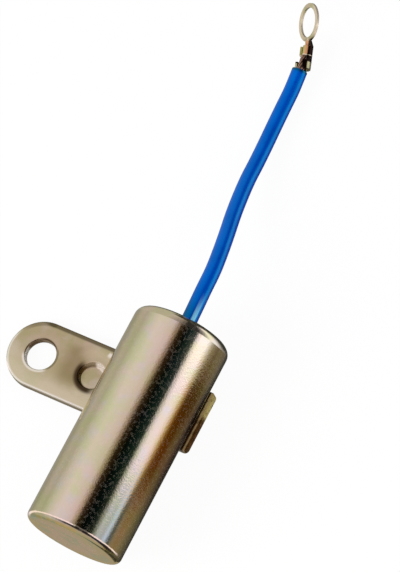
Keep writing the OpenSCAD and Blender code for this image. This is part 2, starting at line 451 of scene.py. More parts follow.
@dataclass(frozen=True)
class ZincPassivate:
    """Zinc plate with a yellow passivation, over drawn or rolled steel."""

    name: str
    grain: Grain
    tan: Colour = (0.80, 0.69, 0.51)
    pink: Colour = (0.83, 0.68, 0.57)
    green: Colour = (0.74, 0.71, 0.45)
    lilac: Colour = (0.77, 0.69, 0.63)
    gloss: float = 0.045
    #: Depth of the relief of its specks. The coarser and the drawn relief are shares of it.
    orange_peel: float = 10.0e-6
    #: Shine lost in the pits of the plate.
    pitting: float = 0.045

    def make(self) -> bpy.types.Material:
        """Builds the material.

        Returns:
            Tan metal that drifts to pink, lilac and green, with fine marks along its grain.
        """
        shader = Shader.material(self.name)
        drift = shader.noise(0.0042, rough=0.55, shift=(0.013, 0.004, 0.0))
        tint = shader.noise(0.0050, shift=(0.0, 0.031, 0.017))
        cloud = shader.noise(0.0028, rough=0.6, shift=(0.021, 0.0, 0.009))
        speck = shader.noise(0.00030, detail=1.0)
        pits = shader.noise(0.00050, detail=1.0, shift=(0.003, 0.0, 0.007)).step(0.48, 0.70)
        peel = shader.noise(0.00080, detail=1.0)
        marks = shader.noise(0.00030, stretch=self.grain.value)
        colour = shader.lay(
            self.tan,
            (tint.step(0.40, 0.62), self.pink),
            (cloud.step(0.46, 0.74), self.lilac),
            (drift.step(0.44, 0.72), self.green),
        )
        colour = self.coat(shader, colour)
        rough = self.gloss + 0.04 * marks.step(0.35, 0.8) + 0.02 * speck
        normal = shader.bump(peel, 0.4 * self.orange_peel)
        normal = shader.bump(speck, self.orange_peel, normal)
        normal = shader.bump(marks, 0.04 * self.orange_peel, normal)
        shine = (1.0 - self.pitting * pits) * (1.0 - self.dull(shader))
        return shader.surface(Base_Color=colour, Metallic=shine, Roughness=rough, Normal=normal)

    def coat(self, shader: Shader, colour: Socket) -> Socket:
        """Lays a piece's own tones on the plate: none here.

        Args:
            shader: The material's shader, not used here.
            colour: The plate's colour.

        Returns:
            The plate's colour.
        """
        return colour

    def dull(self, shader: Shader) -> Value:
        """How far the plate has lost its shine: nowhere here.

        Args:
            shader: The material's shader, not used here.

        Returns:
            The loss, from 0 to 1.
        """
        return 0.0


@dataclass(frozen=True)
class CanFinish(ZincPassivate):
    """The can's plate, with stronger stains on its flat end."""

    olive: Colour = (0.78, 0.64, 0.28)
    rose: Colour = (0.86, 0.64, 0.47)
    sage: Colour = (0.60, 0.64, 0.42)

    def coat(self, shader: Shader, colour: Socket) -> Socket:
        """Stains the closed end: rose inside, olive towards its rim, with patches of sage.

        Args:
            shader: The material's shader.
            colour: The plate's colour.

        Returns:
            The plate with its stained end.
        """
        x, y, z = (shader.along(axis) for axis in (X_AXIS, Y_AXIS, Z_AXIS))
        blotch = shader.noise(0.0040, shift=(0.0, 0.0, 0.027))
        patch = shader.noise(0.0032, shift=(0.019, 0.0, 0.0))
        ragged = distance(x - CAN_X, z - CAN_Z) + 9.0 * (blotch - 0.5)
        stain = shader.mix(ragged.step(4.0, 7.0), self.rose, self.olive)
        stain = shader.mix(patch.step(0.50, 0.66), stain, self.sage)
        on_end = y.step(CAN_BOTTOM_Y + 0.6, CAN_BOTTOM_Y + 0.1)
        return shader.mix(on_end, colour, stain)


@dataclass(frozen=True)
class Arc:
    """A tone of painted light and shade on a stretch of a ring round a place on the strip, in mm
    and degrees.
    """

    centre: float
    #: Where the tone starts, is full, is full no longer and ends, from the centre.
    radii: tuple[float, float, float, float]
    #: Direction of its middle from the strip's length, its half width and the fade beyond.
    facing: float
    half_width: float
    fade: float
    colour: Colour
    depth: float
    #: How much of the shine the tone takes away.
    matt: float = 0.0

    def weight(self, x: Socket, y: Socket) -> Socket:
        """How much of the tone lies at a place.

        Args:
            x: Distance along the strip in mm.
            y: Distance across the strip in mm.

        Returns:
            The weight, from 0 to 1.
        """
        across = x - self.centre
        off = distance(across, y)
        turn = math.radians(self.facing)
        toward = (across * math.cos(turn) + y * math.sin(turn)) / off
        edge = math.cos(math.radians(self.half_width + self.fade))
        sweep = toward.step(edge, math.cos(math.radians(self.half_width)))
        return sweep * off.band(*self.radii)


@dataclass(frozen=True)
class StripFinish(ZincPassivate):
    """The strip's plate with painted light and shade: paler to one long edge and the hole end, a
    highlight along that edge, shade round the peg, the hole and the other edge, reflections on the
    tail.

    Its places are in mm: x runs along the strip from the fixing hole, and y across it.
    """

    tan: Colour = (0.52, 0.44, 0.25)
    pink: Colour = (0.62, 0.48, 0.35)
    green: Colour = (0.47, 0.45, 0.22)
    lilac: Colour = (0.60, 0.52, 0.38)
    gloss: float = 0.20
    orange_peel: float = 3.0e-6
    pitting: float = 0.0
    # The painted light towards the lower long edge and the hole end.
    pale: Colour = (0.82, 0.74, 0.53)
    # The painted shade between the fixing hole and the peg's recess.
    middle_shade: Colour = (0.27, 0.20, 0.075)
    # The painted highlight along the lower long edge and round the hole end.
    painted_highlight: Colour = (1.0, 0.96, 0.84)
    shaded: Colour = (0.20, 0.16, 0.10)
    # The painted shade in a band along the upper long edge and the upper side of the round end.
    upper_band_shade: Colour = (0.13, 0.11, 0.055)
    # The painted shade along the upper long edge and round the punched rims.
    rim_shade: Colour = (0.20, 0.15, 0.08)
    #: Centre along the strip, inner and outer radius and depth of painted shade round each punched
    #: edge.
    punched: tuple[tuple[float, float, float, float], ...] = (
        (HOLE_X, 2.85, 3.5, 0.2),
        (RECESS_X - 0.1, 2.15, 4.2, 0.25),
    )
    #: Depth of painted shade along the strip's long edge on its +Y side.
    upper_rim_shade: float = 0.8
    #: Where the tail's painted reflections begin, and where the camera first sees it past the can.
    tail_from: float = 29.4
    tail_shows: float = 32.15
    #: The dark and the light of the tail's grain, on its lower and its upper half: painted
    #: reflections, dark on the lower half and lighter on the upper.
    tail_low: tuple[Colour, Colour] = ((0.055, 0.022, 0.001), (0.125, 0.050, 0.010))
    tail_high: tuple[Colour, Colour] = ((0.16, 0.10, 0.01), (0.60, 0.49, 0.19))
    # The painted highlight line just past where the can hides the tail.
    tail_line: Colour = (0.44, 0.32, 0.16)
    # The painted dark reflection of the can on the tail beside it.
    against_can: Colour = (0.011, 0.003, 0.002)
    #: Painted shade and highlights on the fixing hole's wall and rim, then on the recess's shaded
    #: and lit sides and beside it towards the can.
    arcs: tuple[Arc, ...] = (
        Arc(HOLE_X, (2.70, 2.80, 2.87, 2.92), 228, 50, 15, (0.92, 0.87, 0.80), 1.0, 0.85),
        Arc(HOLE_X, (2.70, 2.80, 2.87, 2.92), 120, 42, 15, (0.19, 0.12, 0.07), 1.0, 0.80),
        Arc(HOLE_X, (2.86, 2.90, 3.00, 3.20), 145, 35, 20, (0.22, 0.15, 0.08), 0.6),
        Arc(HOLE_X, (2.86, 2.90, 3.05, 3.25), 72, 22, 22, (0.07, 0.035, 0.01), 0.9),
        Arc(HOLE_X, (2.86, 2.90, 3.20, 3.60), 255, 45, 20, (1.0, 0.95, 0.86), 0.8, 0.3),
        Arc(HOLE_X, (3.00, 3.12, 3.25, 3.45), 0, 30, 15, (0.18, 0.14, 0.08), 0.6),
        Arc(RECESS_X, (2.30, 2.80, 4.40, 6.00), 92, 28, 35, (0.74, 0.62, 0.42), 0.5, 0.08),
        Arc(RECESS_X, (2.12, 2.38, 2.95, 3.70), 222, 55, 34, (0.030, 0.010, 0.001), 0.96),
        Arc(RECESS_X, (1.85, 2.00, 2.50, 2.80), 118, 20, 15, (0.30, 0.21, 0.13), 0.9, 0.8),
        Arc(RECESS_X, (1.80, 2.05, 2.25, 3.10), 72, 8, 26, (1.0, 0.88, 0.80), 0.95, 0.8),
        Arc(RECESS_X, (4.20, 4.90, 5.10, 5.60), 74, 1, 6, (1.0, 0.93, 0.84), 0.8, 0.4),
    )

    def coat(self, shader: Shader, colour: Socket) -> Socket:
        """Lays the strip's painted light and shade on the plate.

        Args:
            shader: The material's shader.
            colour: The plate's colour.

        Returns:
            The plate, painted paler to one side, with painted highlights and shade on its edges
            and arcs and painted reflections on its tail.
        """
        x, y = shader.along(X_AXIS), shader.along(Y_AXIS)
        drift = shader.noise(0.0030, shift=(0.004, 0.017, 0.0))
        # Painted light: the strip is painted paler towards its lower long edge and its hole end,
        # with a ragged border.
        lean = y - 3.0 * x.step(0.0, -6.0) + 2.4 * (drift - 0.5)
        # How far out a place lies: from the hole's centre at the round end, else across the strip.
        rim = distance(x * x.step(0.01, -0.01), y)
        # Painted highlight: a pale line along the lower long edge and the lower side of the round
        # end, fading out between 16 and 18 mm along the strip.
        edge_highlight = rim.step(HALF_STRIP - 0.60, HALF_STRIP - 0.30) * y.step(3.5, 1.0)
        # Painted shade: a darker patch between the fixing hole and the peg's recess.
        middle_shade_zone = x.band(3.0, 6.0, 7.6, 10.0) * y.band(-4.8, -1.5, 3.0, 5.0)
        wall = rim.step(HALF_STRIP - 0.07, HALF_STRIP - 0.01) * y.step(0.0, -3.0)
        # Painted shade: a band just inside the upper long edge and the upper side of the round
        # end.
        long_edge = y.step(HALF_STRIP - 1.00, HALF_STRIP - 0.60) * x.band(-3.0, 0.5, 12.0, 13.0)
        round_edge = rim.step(HALF_STRIP - 1.05, HALF_STRIP - 0.65) * y.step(2.5, 4.5)
        upper_band_mask = 0.85 * long_edge + 0.5 * round_edge * x.step(0.5, -0.5)
        colour = shader.lay(
            colour,
            (0.70 * lean.step(0.0, -6.2), self.pale),
            (0.90 * edge_highlight * x.step(18.0, 16.0), self.painted_highlight),
            (0.60 * middle_shade_zone, self.middle_shade),
            (0.85 * wall, self.shaded),
            (upper_band_mask.clamped(), self.upper_band_shade),
            *((arc.depth * arc.weight(x, y), arc.colour) for arc in self.arcs),
        )
        colour = self.tail(shader, x, y, colour)
        # Painted shade along the upper long edge and round the punched rims.
        return shader.mix(self.edge_and_rim_shade(x, y), colour, self.rim_shade)

    def tail(self, shader: Shader, x: Socket, y: Socket, colour: Socket) -> Socket:
        """Paints reflections on the tail: black beside the can, then a pale highlight line, then
        dark and light reflections to the edge.

        Args:
            shader: The material's shader.
            x: Distance along the strip in mm.
            y: Distance across the strip in mm.
            colour: The strip's colour.

        Returns:
            The strip's colour with its tail's painted reflections.
        """
        grain = shader.noise(0.0009, detail=3.0, rough=0.6, shift=(0.002, 0.0, 0.0))
        blotch = shader.noise(0.0016, shift=(0.0, 0.009, 0.0))
        upper = (y + 3.0 * (blotch - 0.5)).step(0.0, 1.6)
        low = shader.mix(grain.step(0.35, 0.65), *self.tail_low)
        high = shader.mix(grain.step(0.34, 0.56), *self.tail_high)
        past = x - self.tail_shows
        line = past.band(0.0, 0.13, 0.27, 0.47) * (0.35 + 0.65 * grain.step(0.30, 0.50))
        tone = shader.lay(
            low,
            (upper, high),
            (0.9 * line, self.tail_line),
            (past.step(0.09, -0.17), self.against_can),
        )
        return shader.mix(self.on_tail(x), colour, tone)

    def on_tail(self, x: Socket) -> Socket:
        """How far a place belongs to the tail, from 0 to 1."""
        return x.step(self.tail_from - 1.0, self.tail_from)

    def edge_and_rim_shade(self, x: Socket, y: Socket) -> Socket:
        """Where painted shade darkens the upper long edge and the rims of the hole and the recess.

        Args:
            x: Distance along the strip in mm.
            y: Distance across the strip in mm.

        Returns:
            How dark it is, from 0 to 1.
        """
        total = self.upper_rim_shade * y.step(HALF_STRIP - 0.50, HALF_STRIP - 0.05)
        for centre, inner, outer, depth in self.punched:
            total = total + depth * distance(x - centre, y).band(inner - 0.25, inner, inner, outer)
        return total.clamped()

    def dull(self, shader: Shader) -> Socket:
        """How far the tail and the arcs have lost their shine.

        Args:
            shader: The material's shader.

        Returns:
            The loss, from 0 to 1.
        """
        x, y = shader.along(X_AXIS), shader.along(Y_AXIS)
        matt = 0.9 * self.on_tail(x)
        for arc in self.arcs:
            if arc.matt:
                matt = matt + arc.matt * arc.weight(x, y)
        return matt.clamped()


@dataclass(frozen=True)
class Metal:
    """Plain bare metal with fine scratches and a slow change of colour."""

    name: str
    colour: Colour
    tarnish: Colour
    gloss: float

    def make(self) -> bpy.types.Material:
        """Builds the material.

        Returns:
            The metal, tarnished in patches.
        """
        shader = Shader.material(self.name)
        patch = shader.noise(0.0018, detail=3.0, rough=0.6)
        fine = shader.noise(0.00016, detail=3.0, rough=0.6)
        colour = shader.mix(0.7 * patch.step(0.42, 0.72), self.colour, self.tarnish)
        rough = self.gloss + 0.18 * patch.step(0.40, 0.75) + 0.08 * fine
        normal = shader.bump(fine, FINE_RELIEF)
        return shader.surface(Base_Color=colour, Metallic=1.0, Roughness=rough, Normal=normal)


@dataclass(frozen=True)
class TerminalWithPaintedShade:
    """Tinned brass, with painted highlights on the ring and painted shade round the crimp and its
    neck.

    Its places are in mm in the terminal's own frame, from the mouth of its cradle.
    """

    frame: Matrix
    #: The way that the crimp's painted shaded side faces, along the terminal's side and rise.
    dark_way: tuple[float, float] = (-0.44, -0.89)
    name: str = "terminal_tinned_brass"
    tin: Colour = (0.80, 0.68, 0.50)
    olive: Colour = (0.66, 0.62, 0.36)
    dull_olive: Colour = (0.42, 0.38, 0.12)
    copper: Colour = (0.62, 0.30, 0.14)
    painted_shade: Colour = (0.022, 0.010, 0.008)
    painted_highlight: Colour = (0.90, 0.76, 0.59)

    def make(self) -> bpy.types.Material:
        """Builds the material.

        Returns:
            The metal, with painted light and shade laid out in the terminal's own frame.
        """
        shader = Shader.material(self.name)
        axes = self.frame.to_3x3()
        origin = self.frame.translation
        reach, side, rise = (shader.along(axes.col[i].copy(), origin) for i in range(3))
        drift = shader.noise(0.0022)
        fine = shader.noise(0.00020)
        back = self.dark_way[0] * side + self.dark_way[1] * rise + 0.3 * (drift - 0.5)
        on_ring = reach.step(5.7, 6.3)
        flank = on_ring * side.absolute().step(1.0, 2.8)
        crimped = reach.band(2.3, 2.6, 5.5, 5.9)
        # Painted light and shade: a highlight on the ring's flanks; across the crimp, dull olive
        # on its lit side, copper in between and shade on its dark side; shade in the throat and
        # the cradle; a highlight at the crimp's front edge.
        colour = shader.lay(
            self.tin,
            (drift.step(0.42, 0.60), self.olive),
            (0.8 * flank, self.painted_highlight),
            (crimped * back.step(0.15, -0.05), self.dull_olive),
            (crimped * back.step(-0.10, 0.15), self.copper),
            (crimped * back.step(0.42, 0.72), self.painted_shade),
            (reach.band(1.10, 1.35, 2.45, 2.75), self.painted_shade),
            (0.8 * reach.band(2.46, 2.52, 2.64, 2.72), self.painted_highlight),
            (reach.step(1.6, 1.3) * back.band(-0.15, 0.05, 0.80, 0.95), self.painted_shade),
        )
        rough = 0.26 + 0.14 * drift.step(0.4, 0.7) + 0.06 * fine
        shine = 1.0 - 0.20 * on_ring - 0.12 * flank - 0.75 * crimped * back.step(0.65, 0.45)
        normal = shader.bump(fine, FINE_RELIEF)
        return shader.surface(Base_Color=colour, Metallic=shine, Roughness=rough, Normal=normal)


@dataclass(frozen=True)
class Moulded:
    """Rubber, plastic, board or paper: a dull body with a grain of its own."""

    name: str
    colour: Colour
    fleck: Colour
    gloss: float
    #: The size of its flecks.
    size: float
    relief: float = 4.0e-6

    def make(self) -> bpy.types.Material:
        """Builds the material.

        Returns:
            The dull material, flecked and slightly rough to the touch.
        """
        shader = Shader.material(self.name)
        fleck = shader.noise(self.size, detail=4.0, rough=0.65)
        slow = shader.noise(0.0040)
        share = 0.6 * fleck.step(0.45, 0.75) + 0.25 * slow
        return shader.surface(
            Base_Color=shader.mix(share, self.colour, self.fleck),
            Roughness=self.gloss + 0.12 * (fleck - 0.5),
            Normal=shader.bump(fleck, self.relief),
        )


@dataclass(frozen=True)
class LeadCover:
    """Blue PVC insulation, extruded and a little waxy, with painted shade at its cut end."""

    #: Where the lead leaves the can, the middle of its cut end, and the way that the end points.
    exit: Vector
    cut: Vector
    heading: Vector
    #: The way square to the lead where it leaves the can.
    across: Triple = (1.0, 0.06, 0.0)
    name: str = "lead_blue_pvc"
    colour: Colour = (0.0, 0.050, 0.50)
    deep: Colour = (0.0, 0.034, 0.44)
    sheen: Colour = (0.0, 0.72, 1.0)
    cut_end_shade: Colour = (0.0, 0.007, 0.06)
    shaded: Colour = (0.0, 0.012, 0.25)
    painted_highlight: Colour = (0.38, 0.78, 1.0)
    relief: float = 1.5e-6

    def make(self) -> bpy.types.Material:
        """Builds the material.

        Returns:
            Saturated blue with a faint bloom, with a painted highlight streak beside a painted
            shaded side where it leaves the can, and painted shade at its cut end.
        """
        shader = Shader.material(self.name)
        bloom = shader.noise(0.0035, detail=3.0, rough=0.6)
        fine = shader.noise(0.00025)
        aside = shader.along(Vector(self.across), self.exit)
        out = shader.along(Y_AXIS, self.exit)
        past_cut = shader.along(self.heading, self.cut)
        colour = shader.lay(
            self.colour,
            (bloom.step(0.35, 0.75), self.deep),
            # Painted shade on one side where the lead leaves the can, a painted highlight streak
            # beside it, and painted shade at the cut end.
            (0.75 * aside.step(0.45, 0.0) * out.step(6.5, 0.5), self.shaded),
            (0.90 * aside.band(0.55, 0.80, 1.20, 1.35) * out.step(7.5, 0.5), self.painted_highlight),
            (0.90 * past_cut.step(-0.70, -0.25), self.cut_end_shade),
        )
        return shader.surface(
            Base_Color=colour,
            Roughness=0.18 + 0.08 * bloom + 0.04 * fine,
            IOR=1.9,
            Specular_IOR_Level=1.0,
            Specular_Tint=(*self.sheen, 1.0),
            Normal=shader.bump(fine, self.relief),
        )


# ---------------------------------------------------------------------------------------------
# Mesh tools
# ---------------------------------------------------------------------------------------------


def smooth_path(points: Sequence[Vector], steps: int = 4) -> list[Vector]:
    """Rounds a route into one smooth curve through all its points.

    Args:
        points: The route.
        steps: The number of stretches between two points.

    Returns:
        Points along the curve, the route's own among them.
    """
    ends = [2 * points[0] - points[1], *points, 2 * points[-1] - points[-2]]
    curve: list[Vector] = []
    for before, start, stop, after in zip(ends, ends[1:], ends[2:], ends[3:]):
        slope = stop - before
        bend = 2 * before - 5 * start + 4 * stop - after
        swing = 3 * start - before - 3 * stop + after
        for t in (i / steps for i in range(steps)):
            curve.append(0.5 * (2 * start + slope * t + bend * t * t + swing * t * t * t))
    return [*curve, points[-1].copy()]


def carried_frames(path: Sequence[Vector]) -> list[tuple[Vector, Vector]]:
    """Two directions square to a path at each of its points, carried along it without twist.

    Args:
        path: The points.

    Returns:
        A side and a top direction for each point.
    """
    frames: list[tuple[Vector, Vector]] = []
    side = X_AXIS
    for before, after in zip([path[0], *path], [*path[1:], path[-1]]):
        along = (after - before).normalized()
        side = (side - along * side.dot(along)).normalized()
        frames.append((side.copy(), along.cross(side)))
    return frames


def add_object(name: str, data: bpy.types.ID) -> bpy.types.Object:
    """Makes an object at the origin and links it into the scene.

    Args:
        name: The object's name.
        data: Its mesh, curve, lamp or camera.

    Returns:
        The object.
    """
    made = bpy.data.objects.new(name, data)
    bpy.context.scene.collection.objects.link(made)
    return made


def mesh_object(
    name: str, bm: bmesh.types.BMesh, material: bpy.types.Material
) -> bpy.types.Object:
    """Turns built geometry into a smooth object at the origin.

    Args:
        name: The object's name.
        bm: The geometry, which is freed.
        material: Its material.

    Returns:
        The object, linked into the scene.
    """
    bmesh.ops.recalc_face_normals(bm, faces=bm.faces)
    mesh = bpy.data.meshes.new(name)
    bm.to_mesh(mesh)
    bm.free()
    mesh.materials.append(material)
    mesh.shade_smooth()
    return add_object(name, mesh)


def bridge(bm: bmesh.types.BMesh, first: Ring, second: Ring) -> None:
    """Joins two rings of the same number of vertices with faces.

    Args:
        bm: The geometry that holds both rings.
        first: The one ring's vertices in order.
        second: The other ring's vertices in the same order.
    """
    for i, vertex in enumerate(first):
        j = (i + 1) % len(first)
        bm.faces.new((vertex, first[j], second[j], second[i]))


# ---------------------------------------------------------------------------------------------
# The part
# ---------------------------------------------------------------------------------------------


@dataclass
class Lead:
    """The lead: smooth insulation over a twisted bundle, along the route of the CAD model."""

    start: Vector = field(default_factory=lambda: Vector((CAN_X, CAN_MOUTH_Y, CAN_Z)) * MM)
    offsets_mm: tuple[Triple, ...] = (
        (0, 0, 0), (-0.2, 4, -0.1), (-0.5, 8, -0.4), (-0.9, 12, -1.1), (-1.7, 16, -2.1),
        (-2.7, 20, -3.3), (-3.8, 24, -4.6), (-4.7, 28, -5.8), (-5.4, 32, -6.9),
        (-5.8, 36, -7.8), (-6.2, 40, -8.5), (-6.5, 44, -8.8), (-6.7, 48, -8.9),
        (-6.78, 51.6, -8.75), (-6.97, 55.52, -8.15),
    )
    #: How the terminal's frame turns, rises and rolls, and its step past the route's end.
    turn: float = math.radians(18)
    rise: float = math.radians(8)
    roll: float = math.radians(51)
    terminal_shift: Vector = field(default_factory=lambda: Vector((0.14, 0.41, -0.18)) * MM)
    #: Radii of the insulation, outside and inside.
    radius: float = 1.45 * MM
    bore: float = 0.78 * MM
    #: How far it runs into the seal, its whole length, and how much its cut edges are broken.
    inside: float = 3.0 * MM
    length: float = 60.5 * MM
    broken_edge: float = 0.08 * MM
    facets: int = 40
    #: Radii of the bundle and of a strand, the number of strands, and the length of one twist.
    bundle: float = 0.72 * MM
    strand: float = 0.17 * MM
    strands: int = 12
    pitch: float = 14.0 * MM
    #: How far the strands run on inside the can, past the insulation.
    strands_inside: float = 2.0 * MM
    #: The bare strands' way through the crimp, in mm in the terminal's own frame.
    bare_mm: tuple[Triple, ...] = (
        (1.4, -0.1, -0.1), (2.55, 0.0, -0.45), (3.3, 0.0, -0.45), (4.53, 0.0, -0.45),
    )

    @property
    def frame(self) -> Matrix:
        """The terminal's own frame: its x runs from the cradle's mouth to the ring.

        Returns:
            The frame's place in the CAD model's frame.
        """
        turned = Matrix.Rotation(math.pi / 2 + self.turn, 4, "Z")
        tipped = Matrix.Rotation(-self.rise, 4, "Y")
        rolled = Matrix.Rotation(-self.roll, 4, "X")
        mouth = self.route[-1] + self.terminal_shift
        return Matrix.Translation(mouth) @ turned @ tipped @ rolled

    @property
    def route(self) -> list[Vector]:
        """The route's bends, from the can's mouth to the insulation's cut end."""
        return [self.start + Vector(p) * MM for p in self.offsets_mm]

    def centreline(self) -> list[Vector]:
        """The insulation's own line, from inside the seal to its cut end."""
        inner = self.start - Y_AXIS * self.inside
        return smooth_path([inner, *self.route])

    def build_cover(self, material: bpy.types.Material) -> bpy.types.Object:
        """Makes the insulation: a hollow tube with its cut edges just broken.

        Args:
            material: Its finish.

        Returns:
            The tube.
        """
        path = self.centreline()
        frames = carried_frames(path)
        bm = bmesh.new()

        def ring(i: int, radius: float, shift: float = 0.0) -> Ring:
            """Makes one ring of vertices round the line.

            Args:
                i: The number of the line's point at its centre.
                radius: Its radius.
                shift: How far it is moved along the line.

            Returns:
                The vertices in order.
            """
            side, top = frames[i]
            centre = path[i] + shift * side.cross(top)
            angles = (TURN * k / self.facets for k in range(self.facets))
            return [
                bm.verts.new(centre + radius * math.cos(a) * side + radius * math.sin(a) * top)
                for a in angles
            ]

        last = len(path) - 1
        outer = [ring(i, self.radius) for i in range(last)]
        outer.append(ring(last, self.radius, -self.broken_edge))
        outer.append(ring(last, self.radius - self.broken_edge))
        inner = [ring(last, self.bore), *(ring(i, self.bore) for i in range(last - 1, -1, -1))]
        rings = [*outer, *inner, outer[0]]
        for first, second in zip(rings, rings[1:]):
            bridge(bm, first, second)
        return mesh_object("lead_cover", bm, material)

    def build_strands(self, material: bpy.types.Material) -> bpy.types.Object:
        """Makes the conductor: strands that wind round the lead's line, from one node tree.

        Args:
            material: Its finish.

        Returns:
            The bundle as one plain mesh.
        """
        frame = self.frame
        inner = self.start - Y_AXIS * (self.inside + self.strands_inside)
        crimped = [frame @ (Vector(p) * MM) for p in self.bare_mm]
        line = smooth_path([inner, *self.route, *crimped])
        curve = bpy.data.curves.new("strand_line", "CURVE")
        curve.dimensions = "3D"
        spline = curve.splines.new("POLY")
        spline.points.add(len(line) - 1)
        for point, place in zip(spline.points, line):
            point.co = (*place, 1.0)
        holder = add_object("strand_line", curve)
        tree = StrandTree(self.strands, self.bundle, self.strand, self.pitch, material)
        tree.put_on(holder)
        graph = bpy.context.evaluated_depsgraph_get()
        mesh = bpy.data.meshes.new_from_object(
            holder.evaluated_get(graph), preserve_all_data_layers=True, depsgraph=graph
        )
        bpy.data.objects.remove(holder)
        mesh.shade_smooth()
        return add_object("lead_strands", mesh)


@dataclass
class StrandTree:
    """Geometry Nodes that wind round strands about a curve: four within, the rest round them."""

    count: int
    bundle: float
    strand: float
    pitch: float
    material: bpy.types.Material
    name: str = "twisted_strands"
    within: int = 4
    #: How far out the strands within lie, as a share of the others' distance.
    within_reach: float = 0.44
    #: Points along each strand, and sides of its outline.
    points: int = 260
    sides: int = 8

    def build(self) -> bpy.types.NodeTree:
        """Builds the node tree.

        Returns:
            The tree, with its sizes as named inputs.
        """
        tree = bpy.data.node_groups.new(self.name, "GeometryNodeTree")
        face = tree.interface
        face.new_socket("Geometry", in_out="INPUT", socket_type="NodeSocketGeometry")
        face.new_socket("Strands", in_out="INPUT", socket_type="NodeSocketInt")
        for label in ("Bundle radius", "Strand radius", "Twist pitch"):
            face.new_socket(label, in_out="INPUT", socket_type="NodeSocketFloat")
        face.new_socket("Geometry", in_out="OUTPUT", socket_type="NodeSocketGeometry")

        maker = NodeMaker(tree)
        line = maker.node("NodeGroupInput")
        strands, bundle, strand, pitch = (line.beside(i) for i in range(1, 5))
        spaced = maker.node(
            "GeometryNodeResampleCurve", {}, {"Curve": line, "Count": self.points}
        )
        copies = maker.node(
            "GeometryNodeDuplicateElements",
            {"domain": "SPLINE"},
            {"Geometry": spaced, "Amount": strands},
        )
        index = copies.beside("Duplicate Index")
        outer = index.over(self.within - 0.5)
        share = index / (outer * self.within + self.within) * TURN
        travelled = maker.node("GeometryNodeSplineParameter", output="Length")
        angle = share + travelled / pitch * TURN
        reach = outer * (1.0 - self.within_reach) + self.within_reach
        radius = (bundle - strand) * reach
        offset = self._offset(maker, angle.cosine() * radius, angle.sine() * radius)
        wound = maker.node("GeometryNodeSetPosition", {}, {"Geometry": copies, "Offset": offset})
        outline = maker.node(
            "GeometryNodeCurvePrimitiveCircle",
            {"mode": "RADIUS"},
            {"Resolution": self.sides, "Radius": strand},
        )
        wires = maker.node(
            "GeometryNodeCurveToMesh",
            {},
            {"Curve": wound, "Profile Curve": outline, "Fill Caps": True},
        )
        real = maker.node("GeometryNodeRealizeInstances", {}, {"Geometry": wires})
        dressed = maker.node(
            "GeometryNodeSetMaterial", {}, {"Geometry": real, "Material": self.material}
        )
        leave = tree.nodes.new("NodeGroupOutput")
        tree.links.new(dressed.link, leave.inputs[0])
        return tree

    def _offset(self, maker: NodeMaker, along_normal: Socket, along_side: Socket) -> Socket:
        """A step square to the curve.

        Args:
            maker: The maker of the tree.
            along_normal: Its length along the curve's normal.
            along_side: Its length square to the normal and the curve.

        Returns:
            The step as a vector.
        """

        def vectors(operation: str, inputs: dict[Union[int, str], Any]) -> Socket:
            """Adds a Vector Math node."""
            return maker.node("ShaderNodeVectorMath", {"operation": operation}, inputs)

        normal = maker.node("GeometryNodeInputNormal")
        tangent = maker.node("GeometryNodeInputTangent")
        side = vectors("CROSS_PRODUCT", {0: tangent, 1: normal})
        first = vectors("SCALE", {0: normal, "Scale": along_normal})
        second = vectors("SCALE", {0: side, "Scale": along_side})
        return vectors("ADD", {0: first, 1: second})

    def put_on(self, holder: bpy.types.Object) -> None:
        """Puts the tree on a curve, with its sizes set by their sockets' identifiers.

        Args:
            holder: The curve's object.
        """
        tree = self.build()
        modifier = holder.modifiers.new(self.name, "NODES")
        modifier.node_group = tree
        sizes = {
            "Strands": self.count,
            "Bundle radius": self.bundle,
            "Strand radius": self.strand,
            "Twist pitch": self.pitch,
        }
        for item in tree.interface.items_tree:
            if item.in_out == "INPUT" and item.name in sizes:
                modifier[item.identifier] = sizes[item.name]


